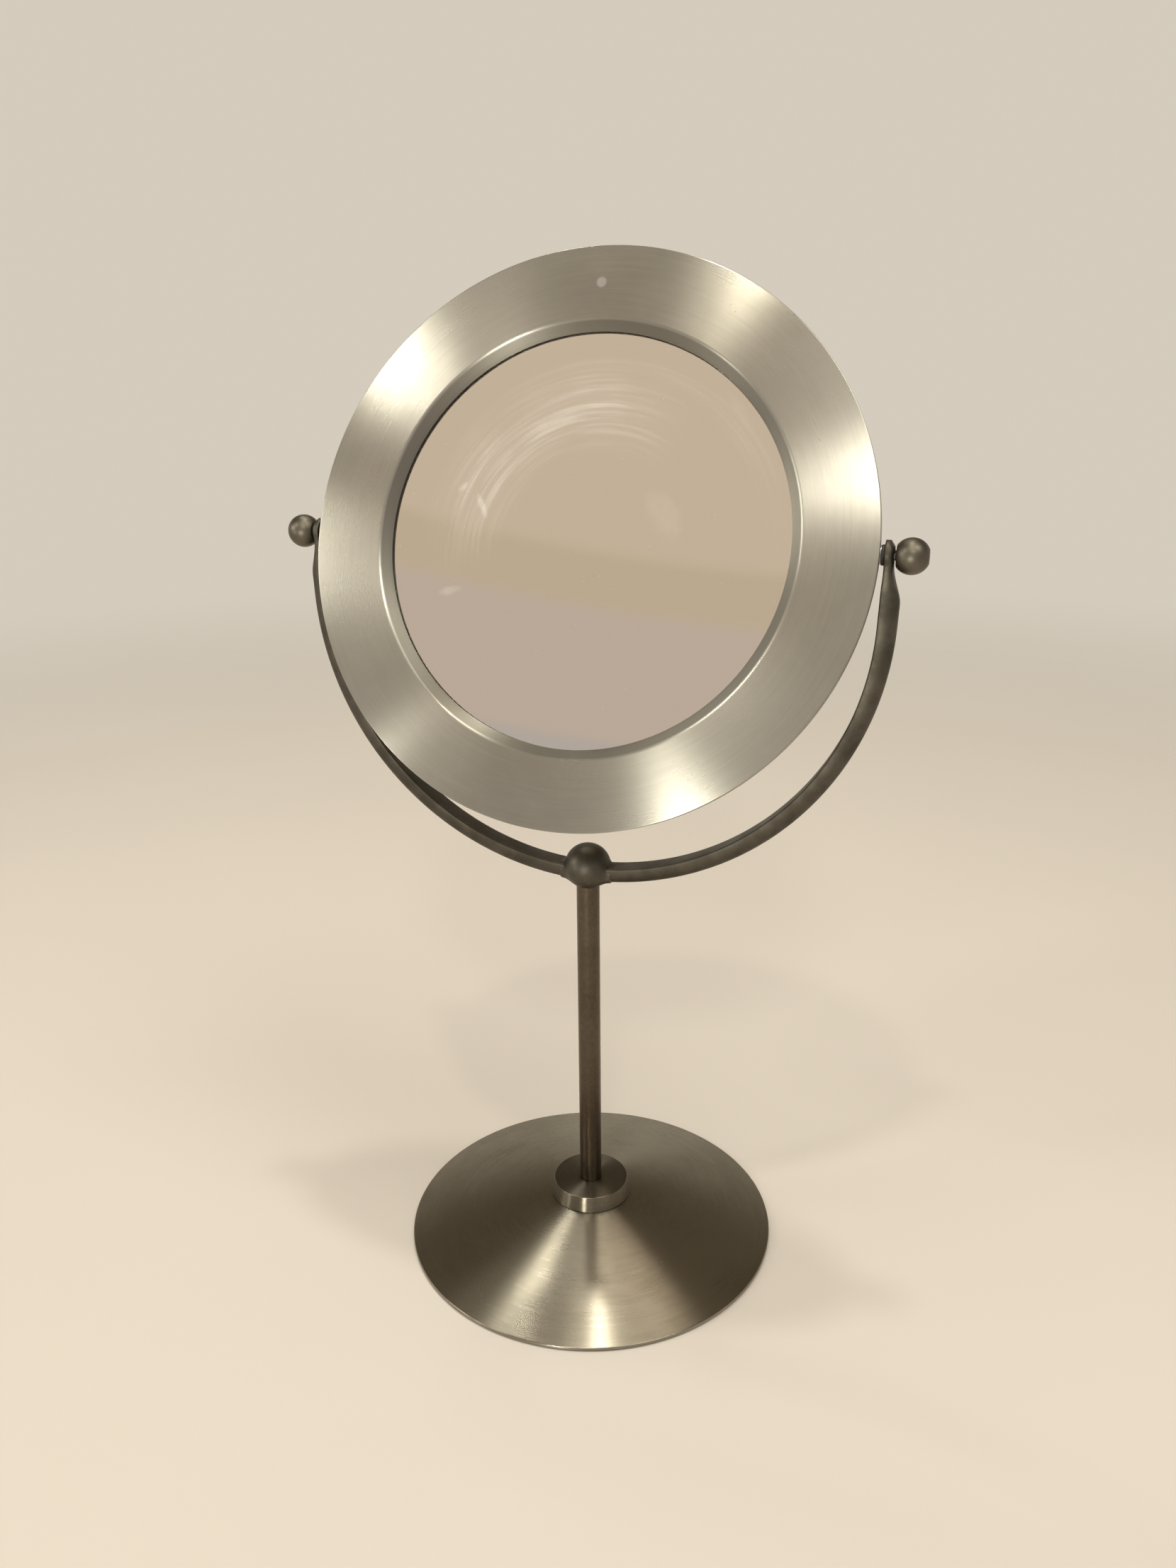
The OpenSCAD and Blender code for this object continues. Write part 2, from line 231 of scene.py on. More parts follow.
def brushed_steel(name, dark, light, roughness, anisotropy=0.0, line=0.35 * MM, spots=(), shaded_within=0,
                  relief=0.003 * MM):
    """Steel brushed round its own axis, with faint clouding, worn lines and dull spots.

    line is the width of the brush lines; inside the lip's radius, when given, a painted shade darkens the colour
    and the finish is made rougher.
    """
    g = Graph(name)
    fine = g.noise(g.round_axis(5, 0.8 / line), 1.0, 1.0, 0.5)
    coarse = g.noise(g.round_axis(3, 0.25 / line), 1.0, 1.5, 0.5)
    cloud = g.noise(g.place(), 24, 4.0, 0.6)
    lines = g.math("ADD", g.math("MULTIPLY", fine, 0.5), g.math("MULTIPLY", coarse, 0.5))
    shade = g.math("ADD", g.math("MULTIPLY", lines, 0.35), g.math("MULTIPLY", cloud, 0.65))
    colour = g.blend(g.spans(shade, 0.36, 0.64), dark, light)
    rough = g.spans(shade, 0.3, 0.7, roughness * 1.08, roughness * 0.94)
    for centre, radius, tint in spots:
        away = g.measure("DISTANCE", g.place(), centre)
        mask = g.spans(away, radius * 1.25, radius * 0.7)
        colour = g.blend(mask, colour, tint)
        rough = g.math("ADD", rough, g.math("MULTIPLY", mask, 0.1))
    if shaded_within:
        # Painted shade darkens the colour inside this radius, and the finish there is made rougher.
        away = g.polar(g.place())[0]
        painted_shade = g.math("MULTIPLY", g.spans(away, shaded_within + 0.6 * MM, shaded_within - 0.3 * MM), 0.85)
        colour = g.blend(painted_shade, colour, LIP_SHADE)
        rough = g.math("ADD", rough, g.math("MULTIPLY", painted_shade, 0.22))
    normal = g.bump(lines, relief, 1.0)
    if anisotropy:
        tangent = g.node("Tangent", direction_type="RADIAL", axis="Z").outputs[0]
        g.set(Tangent=tangent)
    return g.set(Base_Color=colour, Metallic=1.0, Roughness=rough, Normal=normal,
                 Anisotropic=anisotropy, Anisotropic_Rotation=QUARTER_TURN)


def cast_metal(name, dark, light, roughness, relief=0.02 * MM, grain=0.9 * MM):
    """Cast and plated metal with a mottled dark patina and a slightly uneven skin."""
    g = Graph(name)
    cloud = g.noise(g.place(), 90, 5.0, 0.62)
    pits = g.noise(g.place(), 0.6 / grain, 3.0, 0.55)
    skin = g.noise(g.place(), 2.2 / grain, 4.0, 0.7)
    colour = g.blend(g.spans(cloud, 0.32, 0.70), dark, light)
    colour = g.blend(g.spans(pits, 0.30, 0.22), colour, grey(0.05, 0.1))
    rough = g.spans(cloud, 0.3, 0.7, roughness * 1.08, roughness * 0.92)
    height = g.math("ADD", g.math("MULTIPLY", skin, 0.35), pits)
    return g.set(Base_Color=colour, Metallic=1.0, Roughness=rough,
                 Normal=g.bump(height, relief, 0.5))


def plain_solid(name, dark, light, metallic, roughness, scale=400, depth=0.03 * MM):
    """A fine-grained solid: plated steel, cast iron, nylon, rubber or foam."""
    g = Graph(name)
    grain = g.noise(g.place(), scale, 4.0, 0.65)
    cloud = g.noise(g.place(), scale / 9, 3.0, 0.5)
    mixed = g.math("ADD", g.math("MULTIPLY", grain, 0.4), g.math("MULTIPLY", cloud, 0.6))
    colour = g.blend(g.spans(mixed, 0.36, 0.64), dark, light)
    rough = g.spans(grain, 0.3, 0.7, roughness * 0.85, min(1.0, roughness * 1.15))
    return g.set(Base_Color=colour, Metallic=metallic, Roughness=rough,
                 Normal=g.bump(grain, depth, 0.6))


def mirror_glass(name):
    """Silvered glass with wiped arcs round its centre, finger marks and specks of dust."""
    g = Graph(name)
    place = g.place()
    radius, way, _ = g.polar(g.vector("SUBTRACT", place, SWIRL_CENTRE))

    def turned_to(angle, low, high):
        centre = (math.cos(math.radians(angle)), math.sin(math.radians(angle)), 0)
        return g.spans(g.measure("DOT_PRODUCT", way, centre), low, high)

    def arc_band(low, high, soft):
        return g.math("MULTIPLY", g.spans(radius, low - soft, low + soft),
                      g.spans(radius, high + soft, high - soft))

    slow = g.vector("MULTIPLY", way, (1.3, 1.3, 0))
    lift = g.node("CombineXYZ", 0.0, 0.0, g.math("MULTIPLY", radius, 620)).outputs[0]
    arcs = g.noise(g.vector("ADD", slow, lift), 1.0, 4.0, 0.62)
    patches = g.noise(place, 30, 3.0, 0.5)
    wiped = g.spans(arcs, 0.38, 0.74, 0.15, 1.0)
    main = g.math("MULTIPLY", arc_band(0.043, 0.064, 0.009), turned_to(122, 0.25, 0.95))
    outer = g.math("MULTIPLY", arc_band(0.066, 0.072, 0.004), turned_to(75, 0.1, 0.9))
    smear = g.math("MULTIPLY", g.math("ADD", main, g.math("MULTIPLY", outer, 0.45)), wiped)
    smear = g.math("MULTIPLY", smear, g.spans(patches, 0.30, 0.62, 0.3, 1.0))

    marks = 0.0
    for spot, reach, length, angle, power in FINGER_MARKS:
        turn = math.radians(angle)
        off = g.vector("SUBTRACT", place, spot)
        c, s = math.cos(turn), math.sin(turn)
        along = g.measure("DOT_PRODUCT", off, (c / length, s / length, 0))
        across = g.measure("DOT_PRODUCT", off, (-s / reach, c / reach, 0))
        ripple = g.math("MULTIPLY", g.math("SUBTRACT", g.noise(place, 220, 3.0, 0.6), 0.5), 1.6)
        away = g.math("ADD", g.math("ADD", g.math("MULTIPLY", along, along),
                                    g.math("MULTIPLY", across, across)), ripple)
        marks = g.math("ADD", g.math("MULTIPLY", g.spans(away, 1.2, -0.3), power), marks)
    dust = g.spans(g.noise(place, 1300, 1.0, 0.5), 0.80, 0.84)
    haze = g.math("ADD", g.math("MULTIPLY", smear, 0.33), g.math("MULTIPLY", dust, 0.4), clamp=True)
    haze = g.math("ADD", haze, marks, clamp=True)
    silver = g.blend(haze, (0.86, 0.83, 0.79, 1), (0.93, 0.92, 0.90, 1))
    metallic = g.math("SUBTRACT", 1.0, haze)
    rough = g.math("ADD", 0.025, g.math("MULTIPLY", haze, 0.4))
    return g.set(Base_Color=silver, Metallic=metallic, Roughness=rough)


SWIRL_CENTRE = (4 * MM, -4 * MM, 0)
# Place on the glass, half width, half length, angle and strength of each mark
FINGER_MARKS = [(Vector((-0.042, 0.012, 0)), 1.6 * MM, 5.5 * MM, -62, 0.26),
                (Vector((-0.0505, 0.019, 0)), 1.5 * MM, 3.0 * MM, 40, 0.18),
                (Vector((-0.052, -0.021, 0)), 1.9 * MM, 5.5 * MM, 15, 0.14),
                (Vector((0.030, 0.011, 0)), 6.5 * MM, 11.0 * MM, -55, 0.07),
                (Vector((0.054, 0.050, 0)), 2.4 * MM, 9.0 * MM, -50, 0.05)]
ring_spot = (Vector((-1.5 * MM, 95 * MM, 6.3 * MM)), 1.9 * MM, grey(0.60, 0.03))
# The ring's rolled lip, inside 81.2 mm, is darkened with painted shade.
satin_ring = brushed_steel("satin_ring", (0.385, 0.37, 0.325, 1), (0.455, 0.44, 0.39, 1),
                           0.28, 0.92, spots=[ring_spot], shaded_within=81.2 * MM)
satin_base = brushed_steel("satin_base", (0.27, 0.245, 0.195, 1), (0.34, 0.31, 0.255, 1),
                           0.27, 0.93)
satin_shell = brushed_steel("satin_shell", (0.34, 0.32, 0.27, 1), (0.42, 0.40, 0.34, 1), 0.30, 0.9)
satin_collar = brushed_steel("satin_collar", (0.14, 0.125, 0.095, 1), (0.19, 0.17, 0.135, 1),
                             0.28, 0.9)
stem_steel = brushed_steel("stem_steel", (0.080, 0.061, 0.044, 1), (0.12, 0.096, 0.073, 1),
                           0.33, 0.0, line=0.6 * MM)
pewter = cast_metal("pewter_cast", (0.074, 0.066, 0.052, 1), (0.113, 0.102, 0.083, 1), 0.50)
knob_metal = cast_metal("knob_cast", (0.114, 0.101, 0.079, 1), (0.147, 0.131, 0.105, 1), 0.44,
                        relief=0.004 * MM)
zinc = plain_solid("zinc_plate", (0.50, 0.50, 0.49, 1), (0.62, 0.62, 0.60, 1), 1.0, 0.3)
bright_rod = plain_solid("bright_rod", (0.30, 0.295, 0.28, 1), (0.40, 0.395, 0.375, 1), 1.0, 0.24, 250)
iron = plain_solid("cast_iron", grey(0.05), grey(0.10), 0.6, 0.7, 500, 0.15 * MM)
nylon = plain_solid("nylon", (0.70, 0.68, 0.60, 1), (0.80, 0.78, 0.71, 1), 0.0, 0.45)
black = plain_solid("black_rubber", grey(0.012), grey(0.03), 0.0, 0.6)
foam = plain_solid("pad_foam", grey(0.02), grey(0.05), 0.0, 0.95, 900, 0.12 * MM)
silvered = mirror_glass("silvered_glass")

CAD_MATERIALS = {"pad_foam": foam, "iron": iron, "zinc": zinc, "nylon": nylon,
                 "black_rubber": black, "satin_steel": satin_shell, "stem_steel": stem_steel,
                 "pewter": pewter, "mirror_glass": silvered}
for part in frame["record"]["subparts"]:
    for slot in frame["nodes"][part["node"]].material_slots:
        slot.material = CAD_MATERIALS[part["material_slot"]]
for slot in frame["nodes"]["guide_rod"].material_slots:
    slot.material = bright_rod


def stands_for(piece, body, slot, *nodes):
    """Puts a piece on its body in place of CAD nodes; slot is not used."""
    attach(piece, body)
    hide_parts(*nodes)


# ---------------------------------------------------------------- base
base_r = base_high.x
collar_foot_r = collar_high.x
collar_top_r = 16.2 * MM
sheet = 1.2 * MM
rim_h = 1.3 * MM
rod_r = 3 * MM


def build_base():
    in_r = base_r - sheet
    outline = rounded([
        (base_r, base_low.z, 0.25 * MM), (base_r, base_low.z + rim_h, 0.45 * MM),
        (collar_foot_r - MM, base_high.z, 0), (rod_r, base_high.z, 0),
        (rod_r, base_high.z - sheet, 0), (collar_foot_r, base_high.z - sheet, 0),
        (in_r, base_low.z + 0.4 * MM, 0.2 * MM), (in_r, base_low.z, 0.2 * MM)])
    skin = lathe("base_cone_skin", outline, satin_base, segments=256)
    stands_for(skin, "base", "satin_steel", "base_shell")
    low, high = collar_low.z, collar_high.z
    outline = rounded([
        (rod_r, low, 0), (collar_foot_r, low, 0.2 * MM),
        (collar_top_r, high, 0.35 * MM), (rod_r, high, 0)])
    collar = lathe("collar_turned", outline, satin_collar, segments=160)
    stands_for(collar, "base", "satin_steel", "base_collar")


# ---------------------------------------------------------------- stem
def build_stem():
    r = tube_high.x
    bore, foot_bore, lip = 3.75 * MM, 3.1 * MM, 1 * MM
    top = tube_high.z
    outline = rounded([
        (foot_bore, tube_low.z, 0.1 * MM), (r, tube_low.z, 0.45 * MM), (r, top, 0),
        (bore, top, 0), (bore, tube_low.z + lip, 0), (foot_bore, tube_low.z + lip, 0)])
    tube = lathe("stem_tube_drawn", outline, stem_steel, segments=96)
    stands_for(tube, "stem", "stem_steel", "stem_tube")


# ---------------------------------------------------------------- yoke
BAR_W, BAR_T = 8.75 * MM, 6.8 * MM
EAR_T, EAR_R = 3.2 * MM, 5.3 * MM
ARM_LEAN, BOW_DROP = math.radians(2), 21.1 * MM
EDGE = 0.5 * MM
ear_in_x = washer_high.x + 0.05 * MM
BOW_R = ear_in_x * math.cos(ARM_LEAN) - BOW_DROP * math.sin(ARM_LEAN)
bow_z = yoke_low.z + BOW_R + BAR_T
ball_r = (ball_high.y - ball_low.y) / 2
ball_centre = Vector((0, 0, ball_low.z + ball_r))


def smooth(t):
    """Goes softly from 0 to 1 as t does."""
    t = min(1.0, max(0.0, t))
    return t * t * (3 - 2 * t)


def bar_section(width, depth, power, steps=28):
    """Points (outward, across) of a bar with a flat inner face and a rounded outside."""
    points = []
    edge = min(EDGE, width / 4)
    for k in range(steps + 1):
        u = math.sin(math.pi / 2 * (2 * k / steps - 1))
        lift = (1 - abs(u) ** power) ** (1 / power)
        points.append((edge + (depth - edge) * lift, u * width / 2))
    for side in (1, -1):
        turn = [(edge * (1 - math.sin(a)), width / 2 - edge * (1 - math.cos(a)))
                for a in (math.pi / 8 * i for i in range(1, 5))]
        if side < 0:
            turn.reverse()
        points += [(out, side * across) for out, across in turn]
    return points


def yoke_stations():
    """Right half of the bar, from the hub up: (inner face point, outward way, section)."""
    stations = []
    bow_steps, arm_steps, ear_steps = 60, 6, 34
    plain = (BAR_W, BAR_T, 2.25)
    for k in range(bow_steps):
        a = -math.pi / 2 + (math.pi / 2 - ARM_LEAN) * k / bow_steps
        way = Vector((math.cos(a), 0, math.sin(a)))
        stations.append((Vector((0, 0, bow_z)) + way * BOW_R, way, plain))
    foot_z = bow_z - BOW_R * math.sin(ARM_LEAN)
    flat_from = PIVOT.z - 17 * MM
    lean_way = Vector((math.cos(ARM_LEAN), 0, -math.sin(ARM_LEAN)))
    for k in range(arm_steps):
        z = foot_z + (flat_from - foot_z) * k / arm_steps
        stations.append((Vector((arm_inner_x(z), 0, z)), lean_way, plain))
    for k in range(ear_steps):
        rise = math.sin(math.pi / 2 * k / (ear_steps - 1))
        z = flat_from + (PIVOT.z + EAR_R - 0.02 * MM - flat_from) * rise
        h = z - PIVOT.z
        flat = smooth((z - flat_from) / (13 * MM))
        round_w = 2 * math.sqrt(max(EAR_R ** 2 - h ** 2, 0)) if abs(h) < EAR_R else 0
        width = round_w if h > 0 else BAR_W + (max(round_w, BAR_W) - BAR_W) * smooth(1 + h / EAR_R)
        way = lean_way.lerp(X_AXIS, flat).normalized()
        thin = 1 - 0.4 * smooth((h / EAR_R - 0.45) / 0.55)
        section = (width, (BAR_T + (EAR_T - BAR_T) * flat) * thin, 2.25 + 1.5 * flat)
        stations.append((Vector((arm_inner_x(z), 0, z)), way, section))
    return stations


def arm_inner_x(z):
    """Where the arm's inner face lies at a height: leaning below, upright at the ear."""
    lean_x = ear_in_x - (PIVOT.z - z) * math.tan(ARM_LEAN)
    return lean_x + (ear_in_x - lean_x) * smooth((z - PIVOT.z + 12 * MM) / (8 * MM))


def cut(piece, cutter):
    """Takes the cutter out of the piece and removes the cutter."""
    trim = piece.modifiers.new("trim", "BOOLEAN")
    trim.operation, trim.solver, trim.object = "DIFFERENCE", "EXACT", cutter
    bpy.context.view_layer.update()
    done = piece.evaluated_get(bpy.context.evaluated_depsgraph_get())
    piece.data = bpy.data.meshes.new_from_object(done)
    piece.modifiers.clear()
    bpy.data.objects.remove(cutter)


def build_yoke():
    right = yoke_stations()
    flip = Vector((-1, 1, 1))
    left = [(point * flip, way * flip, section) for point, way, section in right[1:]]
    bm = bmesh.new()
    rings = []
    for point, way, section in left[::-1] + right:
        rings.append([bm.verts.new(point + way * out + Y_AXIS * across)
                      for out, across in bar_section(*section)])
    for a, b in zip(rings, rings[1:]):
        for i in range(len(a)):
            k = (i + 1) % len(a)
            bm.faces.new((a[i], a[k], b[k], b[i]))
    bm.faces.new(rings[0])
    bm.faces.new(rings[-1][::-1])
    yoke = new_object("yoke_bar_forged", bm, pewter, sharp=math.radians(40))
    for sign in (-1, 1):
        r = screw_r + 0.05 * MM
        outline = [(0, -6 * MM), (r, -6 * MM), (r, 6 * MM), (0, 6 * MM)]
        cut(yoke, lathe("bore", outline, pewter, along_x(sign, ear_in_x), 48))
    stands_for(yoke, "stem", "pewter", "yoke_bar")


def hub_distance(point):
    """Signed distance to the hub ball blended into the yoke bar."""
    ball = (point - ball_centre).length - ball_r
    out = math.hypot(point.x, point.z - bow_z) - BOW_R
    corner = 2.6 * MM
    q_out = max(abs(out - BAR_T / 2) - BAR_T / 2 + corner, 0)
    q_across = max(abs(point.y) - BAR_W / 2 + corner, 0)
    bar = math.hypot(q_out, q_across) - corner
    blend = 2.4 * MM
    near = max(blend - abs(ball - bar), 0) / blend
    return min(ball, bar) - near * near * blend / 4


def build_hub():
    bm = bmesh.new()
    bmesh.ops.create_icosphere(bm, subdivisions=6, radius=1)
    furthest = ball_r + 2.6 * MM
    for vert in bm.verts:
        way = vert.co.normalized()
        low, high = ball_r * 0.98, furthest
        if hub_distance(ball_centre + way * high) < 0:
            low = high
        for _ in range(14):
            middle = (low + high) / 2
            if hub_distance(ball_centre + way * middle) < 0:
                low = middle
            else:
                high = middle
        vert.co = ball_centre + way * low
    hub = new_object("hub_ball_cast", bm, pewter, sharp=math.radians(60))
    stands_for(hub, "stem", "pewter", "hub_ball")


# ---------------------------------------------------------------- knobs, screws and washers
screw_r = (screw_high.y - screw_low.y) / 2
knob_r = (knob_high.z - knob_low.z) / 2
knob_x = knob_high.x - knob_r + 0.55 * MM
THREAD_PITCH, THREAD_DEPTH = 0.7 * MM, 0.38 * MM


def threaded(name, length, material, matrix, around=40, per_turn=8):
    """A rod along local Z with a helical thread."""
    bm = bmesh.new()
    count = int(length / THREAD_PITCH * per_turn)
    rows = []
    for i in range(count + 1):
        row = []
        for j in range(around):
            turn = j / around
            phase = (i / per_turn - turn) % 1
            end_cut = 0.3 * MM if i in (0, count) else 0
            r = screw_r - THREAD_DEPTH * (1 - abs(2 * phase - 1)) - end_cut
            angle = 2 * math.pi * turn
            row.append(bm.verts.new((r * math.cos(angle), r * math.sin(angle), length * i / count)))
        rows.append(row)
    for a, b in zip(rows, rows[1:]):
        for j in range(around):
            k = (j + 1) % around
            bm.faces.new((a[j], a[k], b[k], b[j]))
    bm.faces.new(rows[0][::-1])
    bm.faces.new(rows[-1])
    return new_object(name, bm, material, matrix)


def ball_outline(r, low, high, steps=40):
    """A ball's outline, cut flat at its low and high ends."""
    a_low, a_high = math.asin(low / r), math.asin(high / r)
    arc = [a_low + (a_high - a_low) * k / steps for k in range(steps + 1)]
    return [(0, low)] + [(r * math.cos(a), r * math.sin(a)) for a in arc] + [(0, high)]


def build_clamps():
    washer_t = washer_high.x - washer_low.x
    washer_r = (washer_high.z - washer_low.z) / 2
    for side, sign in (("left", -1), ("right", 1)):
        body = side + "_clamp"
        outline = ball_outline(knob_r, knob_low.x - knob_x, knob_high.x - knob_x)
        knob = lathe(side + "_knob_ball", outline, knob_metal, along_x(sign, knob_x), 96)
        stands_for(knob, body, "pewter", side + "_knob")
        screw = threaded(side + "_screw_thread", screw_high.x - screw_low.x, zinc,
                         along_x(sign, screw_low.x))
        stands_for(screw, body, "zinc", side + "_pivot_screw")
        outline = rounded([
            (screw_r + 0.1 * MM, 0, 0.2 * MM), (washer_r, 0, 0.3 * MM),
            (washer_r, washer_t, 0.3 * MM), (screw_r + 0.1 * MM, washer_t, 0.2 * MM)])
        washer = lathe(side + "_washer_round", outline, black, along_x(sign, washer_low.x), 72)
        stands_for(washer, "stem", "black_rubber", side + "_washer")


# ---------------------------------------------------------------- head
ring_r = ring_high.x
shell_r = shell_high.x
glass_r = glass_high.x
FACE = 6.3 * MM
RING_SHEET = 1 * MM
LIP_R, BEND_R = 77.8 * MM, 81.6 * MM
FRONT_LIP, REAR_LIP = 2.9 * MM, 4.2 * MM
GLASS_T, GASKET_T, REAR_GASKET_T = 1.8 * MM, 0.9 * MM, 0.6 * MM
BACKING_T, DISH = 0.6 * MM, 1.8 * MM


def lip_outline(lip_z, face):
    """Corner points of a rolled lip: face, bend, edge over the glass, and back under the face."""
    return [(BEND_R + 0.2 * MM, face, 2.2 * MM), (LIP_R + 0.9 * MM, lip_z + 1.1 * MM, 1.5 * MM),
            (LIP_R, lip_z + 0.3 * MM, 0.3 * MM), (LIP_R + 0.1 * MM, lip_z, 0.1 * MM),
            (LIP_R + 1.2 * MM, lip_z, 0.1 * MM), (BEND_R + 1.2 * MM, face - RING_SHEET, 1 * MM)]


def arc_points(centre_r, centre_z, radius, start, end, steps=28):
    """Outline points on an arc, with no corner radius."""
    return [(centre_r + radius * math.cos(start + (end - start) * k / steps),
             centre_z + radius * math.sin(start + (end - start) * k / steps), 0)
            for k in range(steps + 1)]


def build_head():
    outline = rounded(lip_outline(FRONT_LIP, FACE) + [
        (ring_r, FACE - RING_SHEET, 0.2 * MM), (ring_r, FACE, 0.4 * MM)])
    ring = lathe("front_ring_brushed", outline, satin_ring, HEAD, 360)
    stands_for(ring, "head", "satin_steel", "front_ring")

    band_foot, step, seam = 1.8 * MM, 0.6 * MM, 0.4 * MM
    turn_r = FACE + band_foot
    centre_r = shell_r - step - turn_r
    under = FACE - RING_SHEET
    outer = arc_points(centre_r, -band_foot, turn_r, math.pi / 2, 0)
    inner = arc_points(centre_r, -band_foot, turn_r - RING_SHEET, 0, math.pi / 2)
    points = lip_outline(REAR_LIP, FACE)[::-1] + outer[:-1] + [
        (shell_r - step, -band_foot, 0.1 * MM), (shell_r, -band_foot, 0.15 * MM),
        (shell_r, seam - under, 0.25 * MM), (shell_r - step, seam - under, 0.05 * MM),
        (shell_r - step, -under, 0), (shell_r - step - RING_SHEET, -under, 0)] + inner
    back = HEAD @ Matrix.Rotation(math.pi, 4, "X")
    shell = lathe("back_shell_spun", rounded(points), satin_shell, back, 256)
    stands_for(shell, "head", "satin_steel", "back_shell")

    front = FRONT_LIP - GASKET_T
    flat_r = glass_r - 0.8 * MM
    outline = rounded([(0, front - GLASS_T, 0), (flat_r, front - GLASS_T, 0),
                       (glass_r, front - GLASS_T, 0.1 * MM), (glass_r, front, 0.25 * MM),
                       (flat_r, front, 0), (0, front, 0)])
    glass = lathe("front_mirror_glass", outline, silvered, HEAD, 192)
    stands_for(glass, "head", "mirror_glass", "front_glass")

    rear = REAR_LIP - REAR_GASKET_T
    flat = BACKING_T - front + GLASS_T
    dish = [(LIP_R * k / 24, rear - DISH * (1 - (k / 24) ** 2), 0) for k in range(24, -1, -1)]
    outline = rounded([(0, flat, 0), (flat_r, flat, 0), (glass_r, flat, 0.1 * MM),
                       (glass_r, rear, 0.2 * MM)] + dish)
    glass = lathe("rear_magnifying_glass", outline, silvered, back, 192)
    stands_for(glass, "head", "mirror_glass", "rear_glass")


# ---------------------------------------------------------------- floor, light and camera
def build_stage():
    """A pale floor that melts into the background well behind the object."""
    bm = bmesh.new()
    bmesh.ops.create_grid(bm, x_segments=8, y_segments=8, size=4)
    g = Graph("pale_floor")
    cloud = g.noise(g.place(), 3, 3.0, 0.5)
    tone = g.blend(cloud, (0.60, 0.555, 0.50, 1), (0.64, 0.595, 0.54, 1))
    away = g.measure("LENGTH", g.place())
    floor = new_object("floor", bm, g.set(Base_Color=tone, Roughness=0.9, Specular_IOR_Level=0.0,
                                          Alpha=g.spans(away, 0.42, 1.7, 1.0, 0.0)))


def head_way(across, up):
    """A direction given by its parts along the head's width and height, in front of the head."""
    out = math.sqrt(max(0.0, 1 - across ** 2 - up ** 2))
    return (HEAD.to_3x3() @ Vector((across, up, out))).normalized()


BACKDROP, DIM_ABOVE = (0.66, 0.60, 0.505, 1), (0.17, 0.135, 0.09, 1)
ROOM_AROUND, ROOM_LOW = (0.54, 0.49, 0.45, 1), (0.50, 0.455, 0.415, 1)
# Start and end of each change of colour going up the room, and the colour above it
ROOM_BANDS = [(0.360, 0.372, (0.57, 0.475, 0.395, 1)),
              (0.455, 0.468, (0.575, 0.475, 0.345, 1)),
              (0.492, 0.506, (0.63, 0.52, 0.395, 1))]


def build_world():
    """Soft room light: beige where the mirror looks, pale low behind the object, dim high up.

    The camera sees the plain backdrop everywhere.
    """
    world = bpy.data.worlds.new("studio")
    bpy.context.scene.world = world
    world.use_nodes = True
    g = Graph.__new__(Graph)
    g.tree = world.node_tree
    way = g.node("TexCoord").outputs["Generated"]
    ahead = g.measure("DOT_PRODUCT", way, (0, -1, 0))
    height = g.measure("DOT_PRODUCT", way, (0, 0, 1))
    band = g.measure("DOT_PRODUCT", way, (-0.05, 0, 1))
    seen = g.measure("DOT_PRODUCT", way, head_way(-0.33, 0.186))
    room = ROOM_LOW
    for low, high, colour in ROOM_BANDS:
        room = g.blend(g.spans(band, low, high), room, colour)
    front = g.blend(g.spans(seen, 0.90, 0.96), ROOM_AROUND, room)
    behind = g.blend(g.spans(height, 0.22, 0.5), BACKDROP, DIM_ABOVE)
    tone = g.blend(g.spans(ahead, -0.1, 0.5), behind, front)
    tone = g.blend(g.node("LightPath").outputs["Is Camera Ray"], tone, BACKDROP)
    background = g.tree.nodes["Background"]
    g.put(background.inputs[0], tone)
    background.inputs[1].default_value = 1.0


CLEAR, WARM = (1.0, 0.97, 0.86), (1.0, 0.93, 0.76)
PEACH, FILL = (1.0, 0.86, 0.68), (1.0, 0.95, 0.90)
LAMP_AWAY, FILL_AWAY = 1.7, 1.8
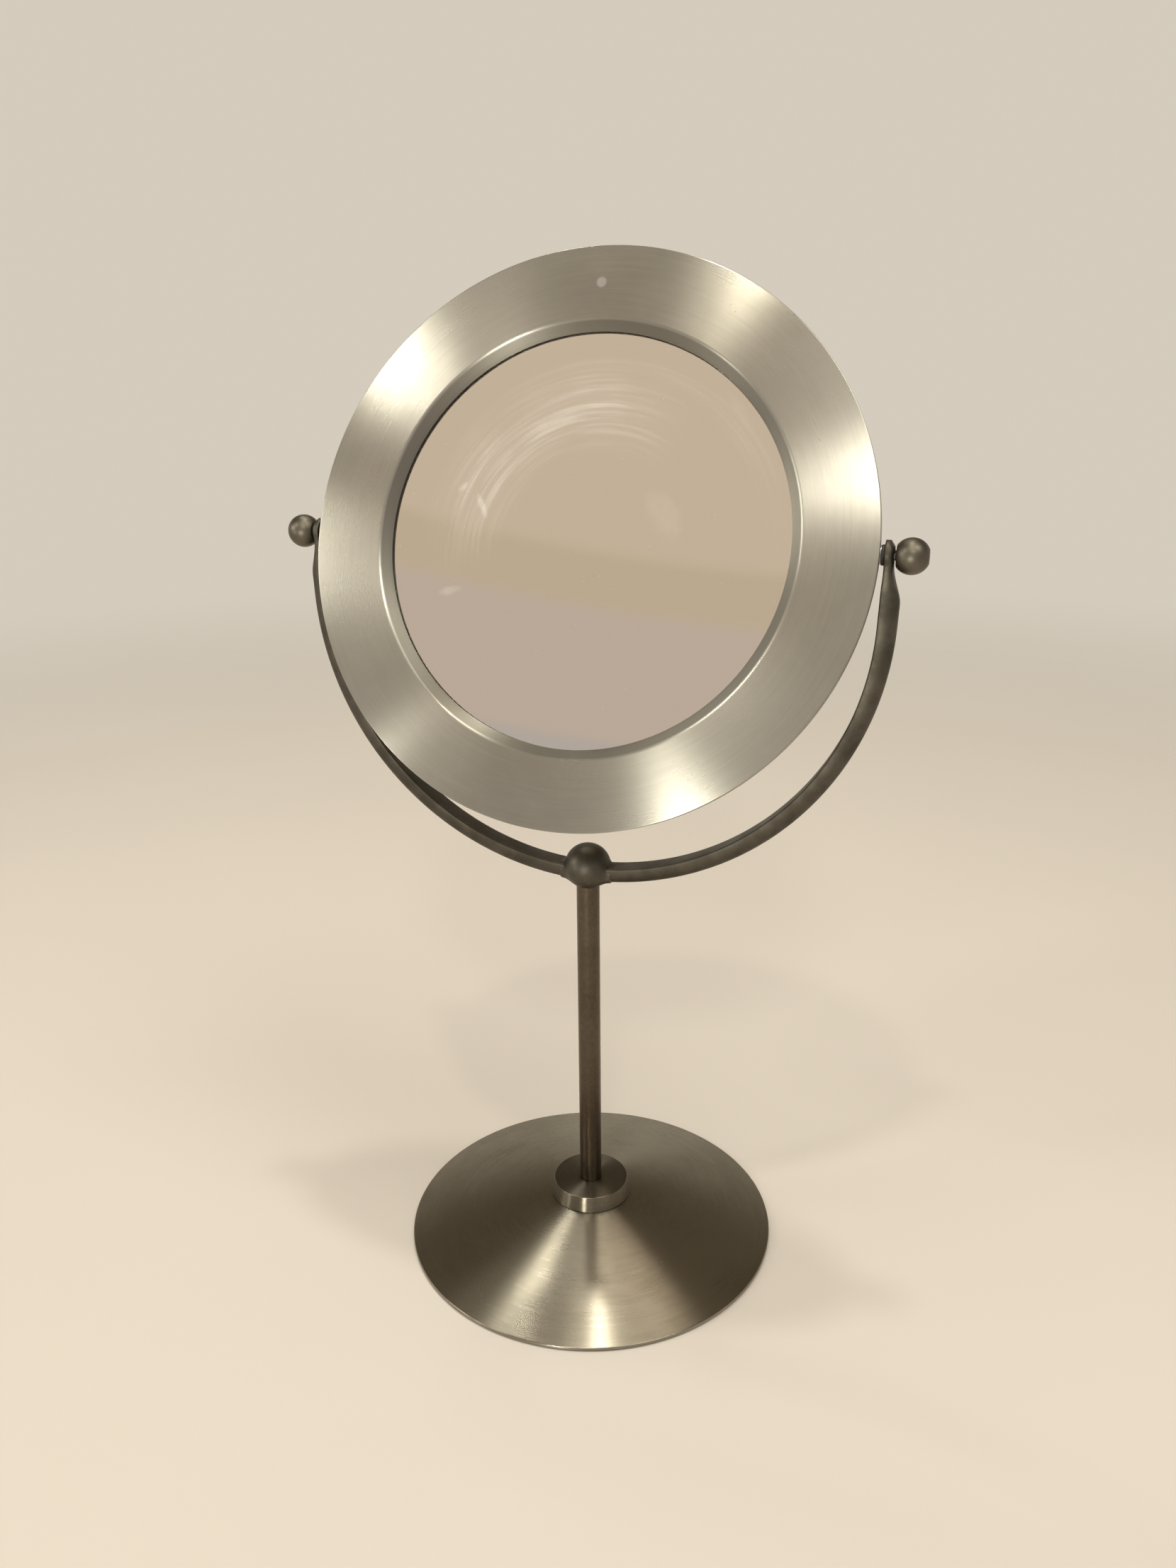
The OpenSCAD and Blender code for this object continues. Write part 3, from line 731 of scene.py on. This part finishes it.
# Name, way from the object, size, power and colour. Those in front are placed in the mirror's own
# frame, clear of what the glass reflects. The others stand high over and behind the base.
LAMPS = [("lamp_left", head_way(-0.56, 0.42), 0.22, 3.0, CLEAR),
         ("lamp_right", head_way(0.21, 0.35), 0.22, 4.4, CLEAR),
         ("lamp_low", head_way(0.0, -0.42), 0.22, 8.4, CLEAR),
         ("lamp_top", head_way(0.0, 0.70), 0.10, 3.4, WARM),
         ("lamp_side", head_way(-0.84, 0.14), 0.45, 4.4, CLEAR),
         ("lamp_high", head_way(0.49, 0.70), 0.90, 8.8, CLEAR),
         ("lamp_edge", head_way(-0.70, -0.28), 0.10, 1.8, CLEAR),
         ("lamp_over", Vector((-0.24, 0.35, 0.905)), 0.80, 2.1, CLEAR),
         ("lamp_streak", Vector((0.030, 0.030, 0.999)), 0.12, 6.5, CLEAR),
         ("lamp_behind", Vector((-0.378, 0.32, 0.870)), 0.20, 2.5, CLEAR),
         ("lamp_peach", Vector((0.04, 0.43, 0.902)), 0.60, 1.8, PEACH)]
NEAR_FLOOR = ("lamp_low", "lamp_edge")


def soft_light(name, way, distance, size, watts, colour, in_metal=True, on_floor=True):
    """A round lamp aimed at the stem's top, with or without its share in metal and on the floor."""
    light = bpy.data.lights.new(name, "AREA")
    light.shape, light.size = "DISK", size
    light.energy, light.color = watts, colour
    lamp = bpy.data.objects.new(name, light)
    bpy.context.scene.collection.objects.link(lamp)
    target = Vector((0, 0, PIVOT.z * 0.8))
    lamp.location = target + way * distance
    lamp.rotation_euler = (-way).to_track_quat("-Z", "Y").to_euler()
    lamp.visible_glossy, lamp.visible_diffuse = in_metal, on_floor


def build_lights():
    for name, way, size, watts, colour in LAMPS:
        soft_light(name, way, LAMP_AWAY, size, watts, colour, on_floor=name not in NEAR_FLOOR)
    soft_light("lamp_fill", Z_AXIS, FILL_AWAY, 1.2, 7, FILL, in_metal=False)


CAMERA_FROM_STEM = Vector((151.5 * MM, -444.4 * MM, 376.2 * MM))
CAMERA_YAW, CAMERA_PITCH = math.radians(18.78), math.radians(19.52)
CAMERA_ROLL = math.radians(-0.54)
LENS, SENSOR = 38.19, 36.0


def build_camera():
    data = bpy.data.cameras.new("camera")
    data.sensor_fit, data.sensor_width, data.lens = "HORIZONTAL", SENSOR, LENS
    data.clip_start, data.clip_end = 0.01, 50
    camera = bpy.data.objects.new("camera", data)
    bpy.context.scene.collection.objects.link(camera)
    aim = (Matrix.Rotation(CAMERA_YAW, 4, "Z") @ Matrix.Rotation(math.pi / 2 - CAMERA_PITCH, 4, "X")
           @ Matrix.Rotation(CAMERA_ROLL, 4, "Z"))
    camera.matrix_world = Matrix.Translation(CAMERA_FROM_STEM) @ aim
    bpy.context.scene.camera = camera


build_base()
build_stem()
build_yoke()
build_hub()
build_clamps()
build_head()
build_stage()
build_world()
build_lights()
build_camera()
bpy.context.scene.view_settings.view_transform = "Standard"
